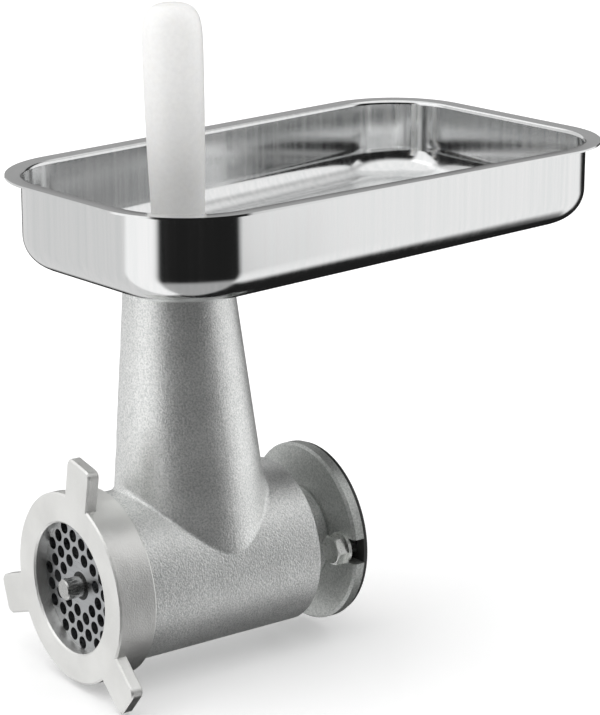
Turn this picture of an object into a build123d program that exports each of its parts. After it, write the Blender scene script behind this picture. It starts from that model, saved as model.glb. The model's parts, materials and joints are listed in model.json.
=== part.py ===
from build123d import *
import os
from math import cos, hypot, pi, radians, sin, sqrt

# Meat mincer head for a machine's power outlet, size 12 (70 mm plate).
# Millimetres. +Z is up and the barrel lies along Y, with its front towards -Y.
# The origin is on the barrel axis, in the plane of the rear mounting face.
# A "station" is a distance forward of that face, so a station s is at y = -s.

# ---- clearances ----------------------------------------------------------------------
running = 0.06                # shaft in a bush
snug = 0.03                   # pieces that stay together
seat_gap = 0.05               # flat faces that turn or slide on each other
loose = 0.3                   # hand fits: plate in barrel, collar in throat

# ---- driving dimensions --------------------------------------------------------------
plate_radius = 35.0           # the standard plate that sets the barrel and the ring nut
plate_thickness = 8.0
throat_radius = 20.0          # feed neck's bore, sets the neck, the tray's seat and the pestle
flange_radius = 43.5
flange_thickness = 6.0
backing_thickness = 2.0       # black plate behind the flange
barrel_rear = 24.8            # station of the barrel's rear end
barrel_front = 131.5          # station of the barrel's open end
barrel_wall = 4.5
rear_wall = 9.0
spigot_radius = 26.0          # pilot that centres the head in the outlet
spigot_length = 10.0
spigot_relief = 0.6           # turned back inside the backing plate
neck_station = 77.5           # station of the feed neck's axis
neck_top = 142.0
neck_wall = 4.75
tray_length = 282.0
tray_width = 159.0            # at mid length
tray_height = 42.6            # neck's mouth to the rim

# ---- barrel, flange and neck ---------------------------------------------------------
barrel_radius = plate_radius + loose + barrel_wall
worm_bore_radius = plate_radius - 5.5
backing_radius = flange_radius - 0.9
bolt_head_width = 13.0        # across flats
bolt_circle_radius = flange_radius - 10.5
hub_radius = bolt_circle_radius - 10.0   # waist between the flange and the barrel
thread_pitch = 4.0
thread_depth = 1.2
thread_turns = 3
neck_top_radius = throat_radius + neck_wall
neck_base_radius = barrel_radius - 1.0   # at the height of the barrel axis
neck_base_shift = 6.6         # the neck's foot lies this far behind its mouth
throat_seat = 18.0            # straight length at the mouth
throat_base_radius = worm_bore_radius - 2.5
neck_fillet = 3.0
neck_cut = 0.3                # above the barrel and the flange, where the neck's node starts

# ---- flange fasteners ----------------------------------------------------------------
slot_width = 12.0
slot_angle = 2.0              # the slots are clocked this far from the horizontal
bolt_shank_radius = 3.95
bolt_head_height = 5.3
washer_radius = 8.0
washer_thickness = 1.6

# ---- plate, knife and ring nut -------------------------------------------------------
plate_proud = 1.5             # the ring nut's lip stands this far off the barrel's end
ring_bore_radius = barrel_radius + loose
ring_body_radius = ring_bore_radius + 3.8
ring_face_radius = ring_body_radius + 1.1
ring_face_thickness = 6.0
ring_length = 20.0
ring_opening_radius = plate_radius - 4.2
ring_lip = 6.4
lug_angles = (80.0, 200.0, 320.0)
lug_width = 19.0
lug_tip_radius = ring_face_radius + 18.5
lug_corner = 3.5
lug_edge = 0.8
plate_hole_radius = 3.0
plate_hole_pitch = 7.75
plate_pattern_angle = -15.0
plate_pattern_radius = ring_opening_radius - 2.6   # hole centres lie inside this
plate_hub_clear = 10.0                             # and outside this
plate_bush_radius = 6.7
key_radius = 2.0
knife_radius = plate_radius - 2.0
knife_thickness = 9.5
knife_hub_radius = 11.0
knife_blade_width = 12.0

# ---- worm and its shaft --------------------------------------------------------------
worm_radius = worm_bore_radius - 0.6
worm_core_rear = 14.0
worm_core_front = 17.5
flight_thickness = 4.0
flight_pitch = 30.0
journal_radius = 12.0
tang_width = 14.0
tang_length = 16.0
tang_recess = 2.0             # journal end short of the spigot end
shaft_socket_radius = 9.0
shaft_socket_length = 26.0
drive_pin_radius = 2.5
drive_pin_depth = 13.0        # forward of the worm's rear face
bush_wall = 4.0
seal_radius = 18.0
seal_length = 6.0
thrust_radius = 22.0
thrust_thickness = 2.0
knife_square = 12.5
stud_radius = 4.9
stud_proud = 2.8              # in front of the ring nut's face
stud_thread_radius = 5.0
stud_thread_length = 18.0

# ---- tray ----------------------------------------------------------------------------
tray_taper = 0.07             # the rear end is wider by this share, the front narrower
tray_corner = 0.28 * tray_width
tray_front = 0.225 * tray_length   # neck axis to the front edge of the rim
tray_turn = 5.86              # the tray sits swivelled by this angle
tray_rim_width = 7.3
tray_sheet = 1.0
tray_rim_thickness = 1.4
tray_floor_radius = 15.0
tray_floor_slope = 0.017
tray_seat_radius = throat_radius + 7.0
tray_seat_thickness = 2.0
collar_wall = 1.0
collar_flange_radius = throat_radius + 4.0
collar_length = 15.0

# ---- pestle: heights are measured from the neck's mouth ------------------------------
handle_profile = ((97.0, 13.7), (62.0, 13.4), (36.0, 12.45), (16.0, 11.8), (-14.0, 12.0))
handle_top = 121.6
handle_crown = 11.5
plunger_top = -46.0
plunger_radius = throat_radius - loose - collar_wall - 2.1
plunger_foot = 2.0            # rounding of its lower edge
pestle_lean = 1.05
pestle_lean_heading = 234.2   # the top leans towards this heading, degrees from +X
pestle_upright_at = 53.0      # where its axis crosses the neck's axis

# ---- derived stations ----------------------------------------------------------------
flange_front = backing_thickness + flange_thickness
bore_rear = barrel_rear + rear_wall
worm_rear = bore_rear + thrust_thickness + 2 * seat_gap
lip_inner = barrel_front + plate_proud
ring_front = lip_inner + ring_lip
ring_rear = ring_front - ring_length
plate_front = lip_inner - seat_gap
plate_rear = plate_front - plate_thickness
knife_front = plate_rear - 2 * seat_gap
knife_rear = knife_front - knife_thickness
counterbore_radius = plate_radius + loose
counterbore_rear = knife_rear - 1.0
worm_front = counterbore_rear - 1.0
stud_front = ring_front + stud_proud
bush_radius = journal_radius + bush_wall
shaft_rear = -(spigot_length - tang_recess)


def at_station(station):
    """The plane across the barrel at a station; extruding from it goes forward."""
    return Plane.XZ.offset(station)


def across(sketch, rear, front):
    """A prism along the barrel, from one station to another."""
    return extrude(at_station(rear) * sketch, front - rear)


def disc(radius, rear, front):
    return across(Circle(radius), rear, front)


def ring(outer, inner, rear, front):
    return across(Circle(outer) - Circle(inner), rear, front)


def turned(points):
    """A solid turned about the barrel axis from (radius, station) points."""
    outline = Polyline(*[(radius, -station) for radius, station in points], close=True)
    return revolve(make_face(outline), Axis.Y, 360)


def on_neck(shape):
    """Moves a shape drawn about the Z axis onto the neck's axis."""
    return Pos(0, -neck_station, 0) * shape


def at_slot(side):
    """Where a flange fastener stands: side is 0 for the right slot, 180 for the left."""
    angle = radians(slot_angle + side)
    return Pos(bolt_circle_radius * cos(angle), 0, bolt_circle_radius * sin(angle))


# ---- housing -------------------------------------------------------------------------
def neck_cone(top, base_radius, top_radius):
    """A leaning cone on the neck, from the height of the barrel axis up to top."""
    base = Pos(0, neck_base_shift, 0) * Circle(base_radius)
    return on_neck(loft([base, Pos(0, 0, top) * Circle(top_radius)]))


def thread_profile():
    """Outline points of the barrel's front end, with the thread drawn as plain rings."""
    start = barrel_front - thread_turns * thread_pitch
    points = [(barrel_radius, start)]
    for turn in range(thread_turns):
        foot = start + turn * thread_pitch
        valley = barrel_radius - thread_depth
        points.append((valley, foot + 0.3 * thread_pitch))
        points.append((valley, foot + 0.5 * thread_pitch))
        points.append((barrel_radius, foot + 0.8 * thread_pitch))
        if turn < thread_turns - 1:
            points.append((barrel_radius, foot + thread_pitch))
    points.append((barrel_radius - 0.5, barrel_front))
    return points


def barrel_casting():
    rounding = 1.2
    return turned([
        (0, -spigot_length), (spigot_radius - 0.8, -spigot_length),
        (spigot_radius, -spigot_length + 0.8), (spigot_radius, 0),
        (spigot_radius - spigot_relief, 0), (spigot_radius - spigot_relief, backing_thickness),
        (flange_radius - 0.4, backing_thickness),
        (flange_radius, backing_thickness + 0.4),
        (flange_radius, flange_front - rounding),
        (flange_radius - rounding, flange_front),
        (hub_radius, flange_front), (hub_radius, barrel_rear),
        (barrel_radius - 0.8, barrel_rear), (barrel_radius, barrel_rear + 0.8),
        *thread_profile(), (0, barrel_front)])


def open_slot(side):
    """One open-ended slot through the flange."""
    reach = flange_radius + slot_width
    length = reach - bolt_circle_radius
    centre = bolt_circle_radius + length / 2
    slot = Pos(centre, 0) * Rectangle(length, slot_width)
    slot += Pos(bolt_circle_radius, 0) * Circle(slot_width / 2)
    return across(Rot(0, 0, slot_angle + side) * slot, backing_thickness - 1, flange_front + 1)


def housing_casting():
    barrel = barrel_casting()
    neck = neck_cone(neck_top, neck_base_radius, neck_top_radius)
    body = barrel + neck
    seam = new_edges(barrel, neck, combined=body)
    body = fillet(seam, neck_fillet)
    body -= neck_cone(neck_top - throat_seat, throat_base_radius, throat_radius)
    body -= on_neck(Pos(0, 0, neck_top - throat_seat / 2) * Cylinder(throat_radius, throat_seat + 1))
    body -= disc(worm_bore_radius, bore_rear, counterbore_rear + 1)
    body -= disc(counterbore_radius, counterbore_rear, barrel_front + 1)
    body -= disc(bush_radius + snug, -spigot_length - 1, bore_rear + 1)
    body -= disc(seal_radius + snug, bore_rear - seal_length, bore_rear + 1)
    body -= plate_key(snug)
    for side in (0, 180):
        body -= open_slot(side)
    return body


def housing_parts():
    """The one casting in two nodes, cut above the barrel so that each is a plain hollow."""
    casting = housing_casting()
    cut = Plane.XY.offset(max(barrel_radius, flange_radius) + neck_cut)
    return split(casting, cut, keep=Keep.BOTTOM), split(casting, cut, keep=Keep.TOP)


def plate_key(clearance=0.0):
    """Dowel in the barrel's mouth that stops the plate from turning."""
    dowel = Pos(0, counterbore_radius) * Circle(key_radius + clearance)
    return across(dowel, plate_rear - 0.5, barrel_front)


# ---- flange hardware -----------------------------------------------------------------
def backing_plate():
    plate = Circle(backing_radius) - Circle(spigot_radius + loose)
    for side in (0, 180):
        angle = slot_angle + side
        plate -= Rot(0, 0, angle) * Pos(bolt_circle_radius, 0) * Circle(bolt_shank_radius + running)
    return across(plate, 0, backing_thickness)


def clamp_washers():
    washer = ring(washer_radius, bolt_shank_radius + loose,
                  flange_front, flange_front + washer_thickness)
    return Compound([at_slot(side) * washer for side in (0, 180)])


def clamp_bolt(side):
    seat = flange_front + washer_thickness + seat_gap
    head = across(RegularPolygon(bolt_head_width / 2, 6, major_radius=False),
                  seat, seat + bolt_head_height)
    corner = bolt_head_width / sqrt(3)
    head &= turned([(0, seat - 1), (corner + 1, seat - 1), (corner + 1, seat + bolt_head_height - 1.6),
                    (bolt_head_width / 2 - 0.3, seat + bolt_head_height),
                    (0, seat + bolt_head_height)])
    return at_slot(side) * (head + disc(bolt_shank_radius, 0, seat))


# ---- shaft line ----------------------------------------------------------------------
def rear_bush():
    return ring(bush_radius, journal_radius + running,
                -spigot_length + 1, bore_rear - seal_length - seat_gap)


def shaft_seal():
    rear = bore_rear - seal_length + seat_gap
    front = bore_rear - 4 * seat_gap
    middle = (rear + front) / 2
    lip = journal_radius + running
    return turned([(lip, rear), (seal_radius, rear), (seal_radius, front), (lip + 1.5, front),
                   (lip + 3, middle), (lip, middle)])


def thrust_washer():
    return ring(thrust_radius, journal_radius + loose,
                bore_rear, bore_rear + thrust_thickness)


def worm():
    core = turned([(0, worm_rear), (worm_core_rear, worm_rear),
                   (worm_core_front, worm_front), (0, worm_front)])
    start = worm_rear + flight_thickness
    length = worm_front - start - flight_thickness
    inner = worm_core_rear - 3.0
    middle = (inner + worm_radius + 1) / 2
    coil = Helix(flight_pitch, length, middle, center=(0, -start, 0), direction=(0, -1, 0))
    origin = coil @ 0
    outward = Vector(origin.X, 0, origin.Z)
    profile = Plane(origin=origin, x_dir=outward, z_dir=coil % 0)
    profile *= Rectangle(worm_radius + 1 - inner, flight_thickness)
    flight = sweep(profile, path=coil, is_frenet=True)
    flight &= disc(worm_radius, worm_rear, worm_front)
    body = core + flight
    body -= disc(shaft_socket_radius + snug, worm_rear - 1, worm_rear + shaft_socket_length)
    body -= disc(stud_thread_radius + snug, worm_front - stud_thread_length, worm_front + 1)
    return body - drive_pin(snug)


def drive_pin(clearance=0.0):
    """Cross pin that fixes the shaft in the worm."""
    pin = Rot(0, 90, 0) * Cylinder(drive_pin_radius + clearance, 2 * worm_core_rear - 1)
    return Pos(0, -(worm_rear + drive_pin_depth), 0) * pin


def drive_shaft():
    body = disc(journal_radius, shaft_rear, worm_rear)
    body += disc(shaft_socket_radius, worm_rear - 1, worm_rear + shaft_socket_length - 1)
    tang = across(Rectangle(tang_width, tang_width), shaft_rear - tang_length, shaft_rear)
    tang = chamfer(tang.faces().sort_by(Axis.Y)[-1].edges(), 1.5)
    return body + tang - drive_pin(snug)


def front_stud():
    body = disc(stud_thread_radius, worm_front - stud_thread_length + 1, worm_front)
    body += across(Rectangle(knife_square, knife_square), worm_front, knife_front)
    pin = disc(stud_radius, knife_front - 1, stud_front)
    return body + chamfer(pin.faces().sort_by(Axis.Y)[0].edges(), 0.6)


# ---- knife, plate and ring nut -------------------------------------------------------
def knife():
    body = disc(knife_hub_radius, knife_rear, knife_front)
    half = knife_blade_width / 2
    blade = make_face(Polyline((-knife_rear, -half), (-knife_rear, half - 4),
                               (-knife_front, half), (-knife_front, half - 5.5), close=True))
    blade = extrude(Plane.YZ * blade, knife_radius + 2)
    for quarter in range(4):
        body += Rot(0, 90 * quarter, 0) * blade
    body &= disc(knife_radius, knife_rear, knife_front)
    square = knife_square + 2 * snug
    return body - across(Rectangle(square, square), knife_rear - 1, knife_front + 1)


def plate_hole_centres():
    """Hexagonal lattice about the axis, less the hub's own places."""
    rows = int(plate_pattern_radius / plate_hole_pitch) + 2
    centres = []
    for row in range(-rows, rows + 1):
        for place in range(-2 * rows, 2 * rows + 1):
            x = plate_hole_pitch * (place + row / 2)
            z = plate_hole_pitch * row * sqrt(3) / 2
            if plate_hub_clear < hypot(x, z) < plate_pattern_radius:
                centres.append((x, z))
    return centres


def perforated_plate():
    plate = Circle(plate_radius) - Circle(plate_bush_radius + snug)
    holes = Sketch() + [Pos(x, z) * Circle(plate_hole_radius) for x, z in plate_hole_centres()]
    plate -= Rot(0, 0, plate_pattern_angle) * holes
    plate -= Pos(0, counterbore_radius) * Circle(key_radius + loose)
    return across(plate, plate_rear, plate_front)


def plate_bush():
    return ring(plate_bush_radius, stud_radius + running, plate_rear, plate_front)


def lug(angle):
    inner = ring_opening_radius + 5
    length = lug_tip_radius - inner
    tab = Pos(inner + length / 2, 0) * Rectangle(length, lug_width)
    tab = fillet(tab.vertices().sort_by(Axis.X)[-2:], lug_corner)
    tab = across(Rot(0, 0, angle) * tab, ring_front - ring_face_thickness, ring_front)
    faces = tab.faces().sort_by(Axis.Y)
    return chamfer(faces[0].edges() + faces[-1].edges(), lug_edge)


def ring_nut():
    edge = 0.8
    body = turned([
        (ring_bore_radius, ring_rear), (ring_body_radius - edge, ring_rear),
        (ring_body_radius, ring_rear + edge),
        (ring_body_radius, ring_front - ring_face_thickness),
        (ring_face_radius, ring_front - ring_face_thickness),
        (ring_face_radius, ring_front - edge), (ring_face_radius - edge, ring_front),
        (ring_opening_radius + edge, ring_front), (ring_opening_radius, ring_front - edge),
        (ring_opening_radius, lip_inner), (ring_bore_radius, lip_inner)])
    for angle in lug_angles:
        body += lug(angle)
    return body


# ---- tray ----------------------------------------------------------------------------
rim_height = neck_top + tray_height


def tray_outline(inset, corner):
    """Tapered plan of the tray about the neck's axis, moved inwards by inset."""
    front = -tray_front + inset
    rear = tray_length - tray_front - inset
    half = tray_width / 2 - inset
    narrow = half * (1 - tray_taper)
    wide = half * (1 + tray_taper)
    corners = Polyline((-narrow, front), (narrow, front), (wide, rear), (-wide, rear), close=True)
    plan = make_face(corners)
    return fillet(plan.vertices(), corner)


def tray_plane(lift):
    """The floor's sloping plane under the sheet, moved up by lift."""
    middle = tray_length / 2 - tray_front
    level = neck_top + tray_floor_slope * (tray_seat_radius + middle) + lift
    return Plane(Location((0, middle, level), (180 / pi * tray_floor_slope, 0, 0)))


def tray_form(inset, lift, floor_radius):
    """The pan's outer or inner shape: straight walls, sloping floor, rounded floor edge."""
    depth = tray_height + 10
    block = extrude(Pos(0, 0, rim_height - depth) * tray_outline(inset, tray_corner - inset), depth)
    block = split(block, tray_plane(lift), keep=Keep.TOP)
    return fillet(block.faces().sort_by(Axis.Z)[0].edges(), floor_radius)


def tray_parts():
    """The one drawn sheet in four nodes: rim, wall, the floor's rounded edge and the floor."""
    inset = tray_rim_width
    outer = tray_form(inset, 0, tray_floor_radius)
    inner = tray_form(inset + tray_sheet, tray_sheet, tray_floor_radius - tray_sheet)
    flat = tray_outline(0, tray_corner) - tray_outline(inset + tray_sheet, tray_corner - inset - tray_sheet)
    pan = outer - inner + extrude(Pos(0, 0, rim_height - tray_rim_thickness) * flat, tray_rim_thickness)
    under_rim = Plane.XY.offset(rim_height - tray_rim_thickness)
    over_bend = tray_plane(tray_floor_radius)
    rim = split(pan, under_rim, keep=Keep.TOP)
    sides = split(pan, under_rim, keep=Keep.BOTTOM)
    wall = split(sides, over_bend, keep=Keep.TOP)
    dish = split(sides, over_bend, keep=Keep.BOTTOM)
    bend = inset + tray_floor_radius
    middle = extrude(Pos(0, 0, neck_top - 10) * tray_outline(bend, tray_corner - bend), tray_height)
    lower = (Align.CENTER, Align.CENTER, Align.MIN)
    seat = Pos(0, 0, neck_top) * Cylinder(tray_seat_radius, tray_seat_thickness, align=lower)
    hole = Pos(0, 0, neck_top - 5) * Cylinder(throat_radius, 12, align=lower)
    floor = (dish & middle) + seat - hole
    return [on_neck(Rot(0, 0, tray_turn) * part) for part in (rim, wall, dish - middle, floor)]


def tray_collar():
    lower = (Align.CENTER, Align.CENTER, Align.MIN)
    outer = throat_radius - loose
    top = neck_top + tray_seat_thickness + seat_gap
    sleeve = Pos(0, 0, neck_top - collar_length) * Cylinder(outer, top - neck_top + collar_length,
                                                           align=lower)
    flange = Pos(0, 0, top) * Cylinder(collar_flange_radius, collar_wall, align=lower)
    bore = Pos(0, 0, neck_top - collar_length - 1) * Cylinder(outer - collar_wall, collar_length + 9,
                                                             align=lower)
    return on_neck(sleeve + flange - bore)


# ---- pestle --------------------------------------------------------------------------
def leaned(shape):
    """Leans a shape from the neck's axis as the pestle leans in the throat."""
    heading = radians(pestle_lean_heading)
    pivot = (0, 0, neck_top + pestle_upright_at)
    tilt_axis = Axis(pivot, (-sin(heading), cos(heading), 0))
    return on_neck(shape.rotate(tilt_axis, pestle_lean))


def pestle():
    foot = worm_radius + 0.4 + plunger_radius * sin(radians(pestle_lean))
    top = neck_top + handle_top
    grips = [(radius, neck_top + height) for height, radius in handle_profile]
    shoulder = (grips[0][0], top - handle_crown)
    crown = Spline((0, top), shoulder, tangents=((1, 0), (0, -1)))
    handle = Spline(*grips, (plunger_radius, neck_top + plunger_top), tangents=((0.03, -1), (0, -1)))
    outline = crown + Line(shoulder, grips[0]) + handle + Polyline(
        handle @ 1, (plunger_radius, foot + plunger_foot),
        (plunger_radius - plunger_foot, foot), (0, foot), (0, top))
    return leaned(revolve(Plane.XZ * make_face(outline), Axis.Z, 360))


# ---- writing -------------------------------------------------------------------------
barrel_part, neck_part = housing_parts()
tray_rim, tray_wall, tray_floor_edge, tray_floor = tray_parts()
pieces = {
    "housing_barrel": barrel_part,
    "housing_neck": neck_part,
    "plate_key": plate_key(),
    "backing_plate": backing_plate(),
    "clamp_washers": clamp_washers(),
    "clamp_bolt_right": clamp_bolt(0),
    "clamp_bolt_left": clamp_bolt(180),
    "rear_bush": rear_bush(),
    "shaft_seal": shaft_seal(),
    "thrust_washer": thrust_washer(),
    "worm": worm(),
    "drive_pin": drive_pin(),
    "drive_shaft": drive_shaft(),
    "front_stud": front_stud(),
    "knife": knife(),
    "perforated_plate": perforated_plate(),
    "plate_bush": plate_bush(),
    "ring_nut": ring_nut(),
    "tray_rim": tray_rim,
    "tray_wall": tray_wall,
    "tray_floor_edge": tray_floor_edge,
    "tray_floor": tray_floor,
    "tray_collar": tray_collar(),
    "pestle": pestle(),
}

os.makedirs("parts", exist_ok=True)
for name, shape in pieces.items():
    export_step(shape, f"parts/{name}.step")
    print(name, round(shape.volume / 1000, 1), "cm3")
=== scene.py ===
# %% [markdown]
# # A meat mincer head with its tray and pestle
# The head bolts to the front of a kitchen machine: a cast barrel with a feed neck, a ring
# nut that holds the perforated plate, a steel tray on the neck and a white pestle.
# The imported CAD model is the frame. It fixes every size and every moving body, so this
# lesson only adds what CAD leaves out: finishes, soft edges, light and a camera.

# %% Load the frame
import bmesh
import bpy
import json
from math import cos, pi, radians, sin
from mathutils import Matrix, Vector


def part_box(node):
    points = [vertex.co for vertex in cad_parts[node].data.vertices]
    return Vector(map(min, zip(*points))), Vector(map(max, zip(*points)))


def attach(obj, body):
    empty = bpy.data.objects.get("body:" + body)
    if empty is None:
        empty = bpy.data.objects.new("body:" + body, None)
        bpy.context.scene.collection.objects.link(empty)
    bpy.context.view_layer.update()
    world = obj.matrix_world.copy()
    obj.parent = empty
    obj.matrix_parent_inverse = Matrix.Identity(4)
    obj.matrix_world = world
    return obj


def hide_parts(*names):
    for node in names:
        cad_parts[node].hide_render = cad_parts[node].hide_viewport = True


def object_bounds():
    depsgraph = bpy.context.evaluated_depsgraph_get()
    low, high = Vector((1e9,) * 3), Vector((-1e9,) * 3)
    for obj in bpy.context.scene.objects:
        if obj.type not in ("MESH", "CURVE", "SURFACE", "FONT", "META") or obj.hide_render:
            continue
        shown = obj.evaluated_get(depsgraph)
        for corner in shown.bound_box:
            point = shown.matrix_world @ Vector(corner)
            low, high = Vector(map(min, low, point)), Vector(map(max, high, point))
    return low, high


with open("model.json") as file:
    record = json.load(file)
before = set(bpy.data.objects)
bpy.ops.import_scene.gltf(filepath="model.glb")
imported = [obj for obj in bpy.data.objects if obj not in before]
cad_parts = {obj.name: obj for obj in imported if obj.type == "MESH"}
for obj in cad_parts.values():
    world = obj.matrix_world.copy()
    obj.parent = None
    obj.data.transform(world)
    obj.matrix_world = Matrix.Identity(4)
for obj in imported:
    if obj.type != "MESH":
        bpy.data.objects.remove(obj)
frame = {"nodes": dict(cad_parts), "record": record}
cad_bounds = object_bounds()

# %% [markdown]
# ## The camera
# A long lens far away keeps the tray's sides nearly parallel, as product pictures do.
# The camera looks at the middle of the object from the front right, a little from above.

# %% Camera
MM = 0.001
look_at = Vector((32.6, -32.3, 99.7)) * MM
azimuth, elevation, distance = radians(54.2), radians(16.53), 1202.9 * MM
towards_camera = Vector((sin(azimuth) * cos(elevation), -cos(azimuth) * cos(elevation), sin(elevation)))

camera = bpy.data.objects.new("camera", bpy.data.cameras.new("camera"))
bpy.context.scene.collection.objects.link(camera)
camera.location = look_at + towards_camera * distance
camera.rotation_euler = (-towards_camera).to_track_quat("-Z", "Y").to_euler()
camera.data.sensor_fit = "VERTICAL"
camera.data.sensor_height = 36.0
camera.data.lens = 131.6
bpy.context.scene.camera = camera
print("camera at", [round(c, 3) for c in camera.location])

# %% [markdown]
# ## The studio
# Bright metal shows its surroundings more than itself, so the light is what shapes it.
# Soft boxes could be area lights, but a polished tray would show their hard corners.
# Painting them into the world by direction gives soft-edged boxes that need no stands.
# Each box is a window in azimuth and in elevation, and the boxes are added up.

# %% World light
world = bpy.data.worlds.new("studio")
bpy.context.scene.world = world
world.use_nodes = True
air = world.node_tree.nodes
wires = world.node_tree.links
air.clear()


def calculate(operation, *inputs):
    """A Math node in the world; an input is a number or another node's output."""
    node = air.new("ShaderNodeMath")
    node.operation = operation
    for socket, value in zip(node.inputs, inputs):
        if isinstance(value, (int, float)):
            socket.default_value = value
        else:
            wires.new(value, socket)
    return node.outputs[0]


def soft_step(value, start, end):
    """Rises smoothly from 0 at start to 1 at end, or falls if end is below start."""
    node = air.new("ShaderNodeMapRange")
    node.interpolation_type = "SMOOTHSTEP"
    wires.new(value, node.inputs["Value"])
    node.inputs["From Min"].default_value = min(start, end)
    node.inputs["From Max"].default_value = max(start, end)
    node.inputs["To Min"].default_value = 0.0 if start < end else 1.0
    node.inputs["To Max"].default_value = 1.0 if start < end else 0.0
    return node.outputs[0]


sky = air.new("ShaderNodeTexCoord")
axes = air.new("ShaderNodeSeparateXYZ")
wires.new(sky.outputs["Generated"], axes.inputs[0])
heading = calculate("ARCTAN2", axes.outputs["Y"], axes.outputs["X"])
height = calculate("ARCSINE", axes.outputs["Z"])


def soft_box(middle, half_width, low, high, strength, blur=8.0):
    """Light from headings middle +- half_width and elevations low to high, in degrees."""
    aside = calculate("WRAP", calculate("SUBTRACT", heading, radians(middle)), pi, -pi)
    aside = calculate("ABSOLUTE", aside)
    across = soft_step(aside, radians(half_width + blur), radians(half_width - blur))
    above = soft_step(height, radians(low - blur), radians(low + blur))
    below = soft_step(height, radians(high + blur), radians(high - blur))
    window = calculate("MULTIPLY", calculate("MULTIPLY", across, above), below)
    return calculate("MULTIPLY", window, strength)


boxes = [
    soft_box(-100, 25, -80, 50, 1.45, 5),    # bright box beside the camera's left
    soft_box(-160, 35, -80, 50, 0.98, 6),    # dimmer box behind it
    soft_box(68, 30, -42, 42, 1.30, 6),      # strip on the right
    soft_box(144, 26, 7, 45, 0.50, 5),       # low glow behind, for the tray's rim
    soft_box(-18, 58, -88, -36, 0.55, 7),    # the table in front
    soft_box(0, 181, 46, 100, 1.35, 10),     # overhead
]
glow = 0.02
for box in boxes:
    glow = calculate("ADD", box, glow)
print("soft boxes:", len(boxes))

# %% [markdown]
# The picture's backdrop is plain and pale. Light Path nodes show the camera that plain
# backdrop and give matt surfaces an even fill, while metal mirrors only the boxes.

# %% Backdrop
path = air.new("ShaderNodeLightPath")
fill = calculate("MULTIPLY", path.outputs["Is Diffuse Ray"], 0.55)
light = air.new("ShaderNodeBackground")
wires.new(calculate("ADD", glow, fill), light.inputs["Strength"])
backdrop = air.new("ShaderNodeBackground")
backdrop.inputs["Strength"].default_value = 1.0
choose = air.new("ShaderNodeMixShader")
sky_out = air.new("ShaderNodeOutputWorld")
wires.new(path.outputs["Is Camera Ray"], choose.inputs[0])
wires.new(light.outputs[0], choose.inputs[1])
wires.new(backdrop.outputs[0], choose.inputs[2])
wires.new(choose.outputs[0], sky_out.inputs["Surface"])
bpy.context.scene.view_settings.view_transform = "Standard"
print("world nodes:", len(air))

# %% [markdown]
# ## Finishes
# Every finish is one Principled shader with its pattern worked out from Object
# coordinates, in metres, so the grain keeps its real size and rides with its piece.
# A few small helpers add the nodes that all finishes share.

# %% Finish helpers
finishes = {}


def new_finish(name, colour, metallic, roughness):
    """A material with one Principled shader; returns it with its shader and coordinates."""
    material = finishes[name] = bpy.data.materials.new("finish_" + name)
    material.use_nodes = True
    nodes = material.node_tree.nodes
    shader = nodes["Principled BSDF"]
    shader.inputs["Base Color"].default_value = (*colour, 1)
    shader.inputs["Metallic"].default_value = metallic
    shader.inputs["Roughness"].default_value = roughness
    place = nodes.new("ShaderNodeTexCoord")
    return material, shader, place.outputs["Object"]


def grain(material, place, scale, stretch=(1, 1, 1), detail=3.0, distortion=0.0):
    """Noise with about scale grains per metre, stretched along the axes; returns its value."""
    nodes, links = material.node_tree.nodes, material.node_tree.links
    mapping = nodes.new("ShaderNodeMapping")
    mapping.inputs["Scale"].default_value = stretch
    links.new(place, mapping.inputs["Vector"])
    noise = nodes.new("ShaderNodeTexNoise")
    noise.inputs["Scale"].default_value = scale
    noise.inputs["Detail"].default_value = detail
    noise.inputs["Distortion"].default_value = distortion
    links.new(mapping.outputs[0], noise.inputs["Vector"])
    return noise.outputs["Fac"]


def spread(material, value, low, high, start=0.3, end=0.7):
    """Maps a pattern's middle range onto low to high."""
    node = material.node_tree.nodes.new("ShaderNodeMapRange")
    material.node_tree.links.new(value, node.inputs["Value"])
    for name, number in (("From Min", start), ("From Max", end), ("To Min", low), ("To Max", high)):
        node.inputs[name].default_value = number
    return node.outputs[0]


def tint(material, value, dark, light):
    """A colour between dark and light, by a pattern."""
    node = material.node_tree.nodes.new("ShaderNodeValToRGB")
    node.color_ramp.elements[0].color = (*dark, 1)
    node.color_ramp.elements[0].position = 0.32
    node.color_ramp.elements[1].color = (*light, 1)
    node.color_ramp.elements[1].position = 0.68
    material.node_tree.links.new(value, node.inputs[0])
    return node.outputs[0]


def mask(material, place, weights, start, end):
    """Goes from 0 at start to 1 at end, by the length of the weighted place in metres."""
    nodes, links = material.node_tree.nodes, material.node_tree.links
    weighted = nodes.new("ShaderNodeVectorMath")
    weighted.operation = "MULTIPLY"
    weighted.inputs[1].default_value = weights
    links.new(place, weighted.inputs[0])
    length = nodes.new("ShaderNodeVectorMath")
    length.operation = "LENGTH"
    links.new(weighted.outputs["Vector"], length.inputs[0])
    return spread(material, length.outputs["Value"], 0.0, 1.0, start, end)


def shade(material, colour, pattern, dark):
    """Multiplies a colour by dark where the pattern is 1."""
    nodes, links = material.node_tree.nodes, material.node_tree.links
    node = nodes.new("ShaderNodeMix")
    node.data_type = "RGBA"
    node.blend_type = "MULTIPLY"
    links.new(pattern, node.inputs["Factor"])
    links.new(colour, node.inputs[6])
    node.inputs[7].default_value = (*dark, 1)
    return node.outputs[2]


def emboss(material, shader, *layers):
    """Stacks bumps on the shader; each layer is (pattern, depth in metres, strength)."""
    nodes, links = material.node_tree.nodes, material.node_tree.links
    below = None
    for value, depth, strength in layers:
        bump = nodes.new("ShaderNodeBump")
        bump.inputs["Distance"].default_value = depth
        bump.inputs["Strength"].default_value = strength
        links.new(value, bump.inputs["Height"])
        if below:
            links.new(below, bump.inputs["Normal"])
        below = bump.outputs[0]
    links.new(below, shader.inputs["Normal"])


print("helpers ready")

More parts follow.
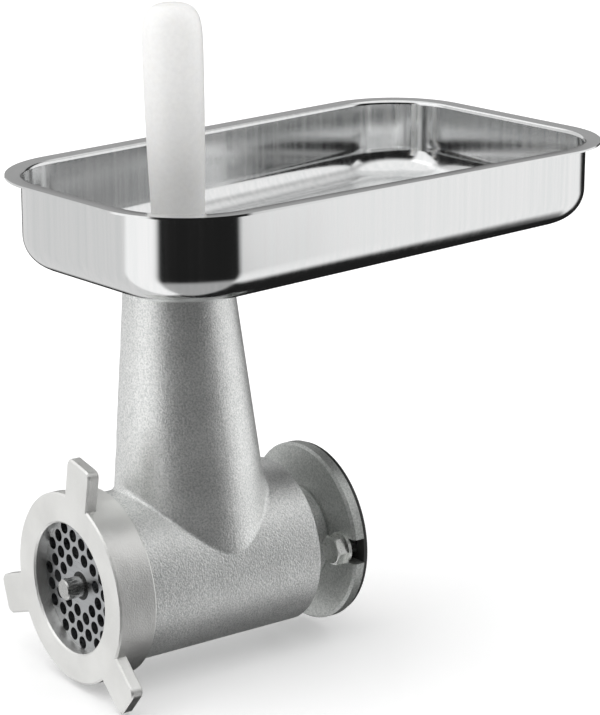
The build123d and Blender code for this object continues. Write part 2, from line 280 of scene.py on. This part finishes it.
# %% [markdown]
# ### Cast aluminium
# The casting is blasted with shot, which leaves a fine sparkle of tiny dents over slow
# waves from the sand mould. Two noises, one fine and one slow, drive colour and bump.
# The flange was faced on a lathe and sits in shade, so a mask by depth along the barrel darkens it: partly
# the faced metal's tone, partly painted shade.

# %% Cast aluminium
cast_aluminium, shader, place = new_finish("cast_aluminium", (0.83, 0.84, 0.83), 0.84, 0.44)
fine = grain(cast_aluminium, place, 1200, detail=4)
slow = grain(cast_aluminium, place, 55, detail=3)
join = cast_aluminium.node_tree.links.new
# Painted shade: the flange's colour is multiplied darker, partly for its faced finish and partly for the
# shade it sits in.
flange_finish_and_painted_shade = mask(cast_aluminium, place, (0, 1, 0), 9.4 * MM, 8.6 * MM)
speckle = tint(cast_aluminium, fine, (0.62, 0.64, 0.63), (1.0, 1.0, 0.99))
join(shade(cast_aluminium, speckle, flange_finish_and_painted_shade, (0.62, 0.63, 0.62)), shader.inputs["Base Color"])
join(spread(cast_aluminium, slow, 0.38, 0.46), shader.inputs["Roughness"])
emboss(cast_aluminium, shader, (slow, 0.0014, 0.26), (fine, 0.00026, 0.75))
print("cast aluminium:", len(cast_aluminium.node_tree.nodes), "nodes")

# %% [markdown]
# ### Tumbled aluminium
# The ring nut is tumbled smooth after casting, so it is paler, with faint clouds and
# only a trace of grain.

# %% Tumbled aluminium
tumbled_aluminium, shader, place = new_finish("tumbled_aluminium", (0.86, 0.86, 0.84), 1.0, 0.44)
fine = grain(tumbled_aluminium, place, 1300, detail=3)
slow = grain(tumbled_aluminium, place, 45, detail=3)
join = tumbled_aluminium.node_tree.links.new
join(tint(tumbled_aluminium, slow, (0.88, 0.88, 0.86), (0.98, 0.98, 0.96)), shader.inputs["Base Color"])
join(spread(tumbled_aluminium, fine, 0.38, 0.52), shader.inputs["Roughness"])
emboss(tumbled_aluminium, shader, (slow, 0.0014, 0.32), (fine, 0.0002, 0.6))
print("tumbled aluminium:", len(tumbled_aluminium.node_tree.nodes), "nodes")

# %% [markdown]
# ### Stainless sheet
# The tray is drawn from bright rolled sheet. Faint upright drawing lines on its walls
# blur what it mirrors. The lines are a noise squeezed in plan and stretched upwards.

# %% Stainless sheet
stainless, shader, place = new_finish("stainless", (0.74, 0.74, 0.74), 1.0, 0.14)
lines = grain(stainless, place, 420, stretch=(1, 1, 0.02), detail=2)
waves = grain(stainless, place, 14, detail=1)
join = stainless.node_tree.links.new
join(spread(stainless, lines, 0.11, 0.17), shader.inputs["Roughness"])
join(tint(stainless, lines, (0.72, 0.73, 0.73), (0.78, 0.78, 0.78)), shader.inputs["Base Color"])
emboss(stainless, shader, (waves, 0.0030, 0.16), (lines, 0.00003, 0.12))
print("stainless:", len(stainless.node_tree.nodes), "nodes")

# %% [markdown]
# ### Steels
# The plate's face is ground, the shaft and knife are turned, and the bolts are zinc
# plated. All are one recipe with other numbers: a grain that runs one way.

# %% Steels
def steel(name, colour, roughness, scale, stretch, depth=0.00006):
    material, shader, place = new_finish(name, colour, 1.0, roughness)
    marks = grain(material, place, scale, stretch)
    join = material.node_tree.links.new
    join(spread(material, marks, 0.75 * roughness, 1.3 * roughness), shader.inputs["Roughness"])
    join(tint(material, marks, [0.88 * c for c in colour], [1.1 * c for c in colour]),
         shader.inputs["Base Color"])
    emboss(material, shader, (marks, depth, 0.4))
    return material


plate_steel = steel("plate_steel", (0.48, 0.49, 0.50), 0.34, 700, (0.15, 1, 1))
tool_steel = steel("tool_steel", (0.55, 0.55, 0.54), 0.24, 900, (1, 0.1, 1))
zinc_steel = steel("zinc_steel", (0.74, 0.75, 0.73), 0.30, 800, (1, 1, 1))
worm_casting = steel("worm_casting", (0.72, 0.72, 0.71), 0.40, 900, (1, 1, 1), 0.0003)
print("steels:", plate_steel.name, tool_steel.name, zinc_steel.name, worm_casting.name)

# %% [markdown]
# ### Plastics, bronze and rubber
# The pestle is milky polyethylene that lets light in a little way. The plate's bush is
# black acetal, made near black so that it also stands in for the shadow in the hollow round
# the stud: partly its own colour, partly painted shade. The backing plate is near black,
# and bronze and rubber are inside.

# %% Plastics, bronze and rubber
def dull(name, colour, metallic, roughness, scale=600, depth=0.0001):
    material, shader, place = new_finish(name, colour, metallic, roughness)
    texture = grain(material, place, scale)
    join = material.node_tree.links.new
    join(spread(material, texture, 0.85 * roughness, min(1.0, 1.15 * roughness)),
         shader.inputs["Roughness"])
    join(tint(material, texture, [0.97 * c for c in colour], [min(1.0, 1.02 * c) for c in colour]),
         shader.inputs["Base Color"])
    emboss(material, shader, (texture, depth, 0.25))
    return material, shader


white_plastic, shader = dull("white_plastic", (0.95, 0.945, 0.93), 0.0, 0.34, 500, 0.00001)
shader.inputs["Subsurface Weight"].default_value = 0.25
shader.inputs["Subsurface Radius"].default_value = (1.0, 0.95, 0.85)
shader.inputs["Subsurface Scale"].default_value = 0.004
# Painted shade: the bush's near-black colour is partly its own black acetal and partly the shadow in the
# hollow round the stud.
black_plastic, _ = dull("black_plastic", (0.008, 0.008, 0.008), 0.0, 0.55)
black_steel, _ = dull("black_steel", (0.02, 0.02, 0.02), 0.0, 0.42)
rubber, _ = dull("rubber", (0.03, 0.03, 0.03), 0.0, 0.70)
bronze, _ = dull("bronze", (0.72, 0.50, 0.24), 1.0, 0.32)
print("dull finishes:", white_plastic.name, black_plastic.name, black_steel.name)

# %% [markdown]
# ## Finishes on the CAD nodes
# The record says which slot each node takes. Assigning to the object's slot changes the
# finish and leaves the CAD mesh alone.

# %% Assign finishes
finish_of = {row["node"]: row["material_slot"] for row in frame["record"]["subparts"]}
for name, node in frame["nodes"].items():
    for socket in node.material_slots:
        socket.material = finishes[finish_of[name]]
print("finished nodes:", len(finish_of))

# %% [markdown]
# ## Helpers for new pieces
# A new piece is shaped in its own bmesh, then linked, given its finish, put on its body
# and said to stand for its CAD node.

# %% Piece helpers
def new_piece(name, mesh_in_progress, finish, crease=35.0):
    """Turns a bmesh into a smooth-shaded object whose edges over crease degrees stay sharp."""
    mesh = bpy.data.meshes.new(name)
    mesh_in_progress.to_mesh(mesh)
    mesh_in_progress.free()
    mesh.materials.append(finish)
    mesh.shade_smooth()
    mesh.set_sharp_from_angle(angle=radians(crease))
    piece = bpy.data.objects.new(name, mesh)
    bpy.context.scene.collection.objects.link(piece)
    return piece


def stands_for(piece, body, *nodes):
    """Puts a piece on its body in place of CAD nodes."""
    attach(piece, body)
    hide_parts(*nodes)


def settle(piece):
    """Applies a piece's modifiers to its mesh."""
    bpy.context.view_layer.update()
    solid = piece.evaluated_get(bpy.context.evaluated_depsgraph_get())
    mesh = bpy.data.meshes.new_from_object(solid)
    piece.modifiers.clear()
    piece.data = mesh
    return len(mesh.polygons)


print("piece helpers ready")

# %% [markdown]
# ## The tray
# A tray is drawn from one sheet, so it is made as one sheet here: a tapered rectangle
# with bevelled corners, inset by the rim's width, pushed down and tilted to the floor's
# slope. Bevels round the floor's edge and the lip, and Solidify gives the sheet its
# thickness. A box with a shell modifier would have no rim and no drawn radii.

# %% Tray sheet
neck_axis = Vector((0, -77.5, 0)) * MM
tray_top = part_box("tray_rim")[1][2]
neck_mouth = 142 * MM
mouth_centre = neck_axis + Vector((0, 0, neck_mouth))
throat_radius = 20 * MM
sheet = 1.0 * MM
rim_width = 7.3 * MM + sheet
tray_front, tray_rear = -63.45 * MM, 218.33 * MM
narrow_half, wide_half = 73.9 * MM, 84.8 * MM
floor_slope, slope_start = 0.017, 27 * MM
corner_radius, floor_radius, lip_radius = 44.5 * MM, 14 * MM, 2.0 * MM
tray_turn = Matrix.Translation(neck_axis) @ Matrix.Rotation(radians(5.86), 4, "Z")

tray_bm = bmesh.new()
outline = [tray_bm.verts.new((x, y, tray_top)) for x, y in (
    (-narrow_half, tray_front), (narrow_half, tray_front), (wide_half, tray_rear), (-wide_half, tray_rear))]
tray_bm.faces.new(outline)
bmesh.ops.bevel(tray_bm, geom=outline, offset=corner_radius, segments=28, profile=0.5,
                affect="VERTICES", material=-1, clamp_overlap=True)
tray_bm.faces.ensure_lookup_table()
floor = tray_bm.faces[0]
bmesh.ops.inset_region(tray_bm, faces=[floor], thickness=rim_width, use_boundary=True, use_even_offset=True)
pushed = bmesh.ops.extrude_face_region(tray_bm, geom=[floor])["geom"]
low = [v for v in pushed if isinstance(v, bmesh.types.BMVert)]
if floor.is_valid:
    bmesh.ops.delete(tray_bm, geom=[floor], context="FACES_ONLY")
tilt = Matrix(((1, 0, 0, 0), (0, 1, 0, 0),
               (0, floor_slope, 0, neck_mouth + floor_slope * slope_start + sheet), (0, 0, 0, 1)))
bmesh.ops.transform(tray_bm, matrix=tilt, verts=low)
print("tray outline corners:", len(low))

# %% Tray radii
floor = max(tray_bm.faces, key=lambda f: len(f.verts))
lip = [e for e in tray_bm.edges
       if all(v.co.z > tray_top - 0.1 * MM for v in e.verts) and len(e.link_faces) == 2
       and any(abs(f.normal.z) < 0.5 for f in e.link_faces)]
bmesh.ops.bevel(tray_bm, geom=list(floor.edges), offset=floor_radius, segments=14, profile=0.5,
                affect="EDGES", material=-1, clamp_overlap=False)
bmesh.ops.bevel(tray_bm, geom=lip, offset=lip_radius, segments=5, profile=0.5,
                affect="EDGES", material=-1, clamp_overlap=False)
bmesh.ops.transform(tray_bm, matrix=tray_turn, verts=tray_bm.verts)
print("lip edges:", len(lip), "faces:", len(tray_bm.faces))

# %% [markdown]
# The floor has a hole over the throat. A Boolean with a round cutter is the simplest way
# to pierce a sheet that is already thick, and it is applied at once.

# %% Tray piece
tray = new_piece("tray", tray_bm, stainless)
thicken = tray.modifiers.new("sheet", "SOLIDIFY")
thicken.thickness = sheet
thicken.offset = -1.0
thicken.use_even_offset = True

cutter_bm = bmesh.new()
bmesh.ops.create_cone(cutter_bm, cap_ends=True, segments=96,
                      radius1=throat_radius, radius2=throat_radius,
                      depth=20 * MM, matrix=Matrix.Translation(mouth_centre))
cutter = new_piece("throat_cutter", cutter_bm, stainless)
pierce = tray.modifiers.new("throat", "BOOLEAN")
pierce.object = cutter
pierce.operation = "DIFFERENCE"
faces = settle(tray)
bpy.data.objects.remove(cutter)
tray.data.set_sharp_from_angle(angle=radians(40))
stands_for(tray, "tray", "tray_rim", "tray_wall", "tray_floor_edge", "tray_floor")
print("tray faces:", faces)

# %% [markdown]
# ## The tray's seat
# A turned ring is welded round the hole and stands on the neck's mouth. A full spin of
# its section with softened edges makes it.

# %% Tray seat
TOUCHING = 1e-6    # metres; points this near count as one
seat_radius, seat_thickness = 27 * MM, 2.2 * MM


def turned_piece(section, centre, axis, steps, soften=0.0, segments=3):
    """Spins a closed section of (radius, height) points about an axis through centre."""
    bm = bmesh.new()
    corners = [bm.verts.new((radius, 0, height)) for radius, height in section]
    bm.faces.new(corners)
    if soften:
        off_axis = [v for v in corners if v.co.x > TOUCHING]
        bmesh.ops.bevel(bm, geom=off_axis, offset=soften, segments=segments, profile=0.5,
                        affect="VERTICES", material=-1, clamp_overlap=True)
    bmesh.ops.delete(bm, geom=list(bm.faces), context="FACES_ONLY")
    on_axis = [e for e in bm.edges if max(v.co.x for v in e.verts) <= TOUCHING]
    bmesh.ops.delete(bm, geom=on_axis, context="EDGES")
    bmesh.ops.spin(bm, geom=list(bm.edges) + list(bm.verts), cent=(0, 0, 0), axis=(0, 0, 1),
                   angle=2 * pi, steps=steps, use_merge=True)
    bmesh.ops.remove_doubles(bm, verts=bm.verts, dist=TOUCHING)
    bmesh.ops.recalc_face_normals(bm, faces=bm.faces)
    turn = Vector((0, 0, 1)).rotation_difference(Vector(axis)).to_matrix().to_4x4()
    bmesh.ops.transform(bm, matrix=Matrix.Translation(centre) @ turn, verts=bm.verts)
    return bm


seat_section = [(throat_radius, 0), (seat_radius, 0),
                (seat_radius, seat_thickness), (throat_radius, seat_thickness)]
seat_bm = turned_piece(seat_section, mouth_centre, (0, 0, 1), 96, 0.4 * MM)
tray_seat = new_piece("tray_seat", seat_bm, stainless)
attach(tray_seat, "tray")
print("tray seat faces:", len(tray_seat.data.polygons))

# %% [markdown]
# ## The pestle
# The pestle is a moulded round bar: a domed top, a handle that narrows towards the tray
# and a plunger that nearly fills the throat. Its section is spun, then leaned as it
# leans in the throat.

# %% Pestle
pestle_foot = (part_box("pestle")[0][2] - neck_mouth) / MM + 0.3
pestle_top = (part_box("pestle")[1][2] - neck_mouth) / MM
handle = ((11.8, 14), (12.0, -14), (13.2, -28), (16.2, -42), (16.6, -50))
grip = ((13.7, 108), (13.7, 97), (13.4, 62), (12.45, 36))
section = [(0, pestle_foot), (14.6, pestle_foot), (16.0, pestle_foot + 0.5), (16.6, pestle_foot + 2)]
section += [*reversed(handle), *reversed(grip)]
section += [(12.9, 114.4), (10.9, 118.4), (7.6, 120.9), (3.6, pestle_top - 0.05), (0, pestle_top)]
section = [(radius * MM, height * MM) for radius, height in section]
pestle_bm = turned_piece(section, (0, 0, 0), (0, 0, 1), 64)
lean_heading, lean = radians(234.2), radians(1.05)
pivot = Vector((0, 0, 53 * MM))
leaned = (Matrix.Translation(mouth_centre + pivot)
          @ Matrix.Rotation(lean, 4, (-sin(lean_heading), cos(lean_heading), 0))
          @ Matrix.Translation(-pivot))
bmesh.ops.transform(pestle_bm, matrix=leaned, verts=pestle_bm.verts)
pestle = new_piece("pestle_moulding", pestle_bm, white_plastic, 50)
rounder = pestle.modifiers.new("rounder", "SUBSURF")
rounder.levels = rounder.render_levels = 2
stands_for(pestle, "pestle", "pestle")

# %% [markdown]
# ## The floor
# The floor is plain and pale. Its own reflection would fill the tray's upright walls
# with flat white, so glossy rays pass it and find the painted studio instead.

# %% Floor
floor_bm = bmesh.new()
lowest, floor_gap = cad_bounds[0][2], 1 * MM
bmesh.ops.create_grid(floor_bm, x_segments=1, y_segments=1, size=8.0,
                      matrix=Matrix.Translation((0, 0, lowest - floor_gap)))
floor_finish, shader, place = new_finish("studio_floor", (0.93, 0.93, 0.93), 0.0, 0.9)
paper = grain(floor_finish, place, 40)
floor_finish.node_tree.links.new(tint(floor_finish, paper, (0.925, 0.925, 0.925), (0.935, 0.935, 0.935)),
                                 shader.inputs["Base Color"])
floor_piece = new_piece("studio_floor", floor_bm, floor_finish)
shader.inputs["Emission Color"].default_value = (1, 1, 1, 1)
shader.inputs["Emission Strength"].default_value = 0.20
floor_piece.visible_glossy = False
print("floor at", round(lowest - floor_gap, 4))
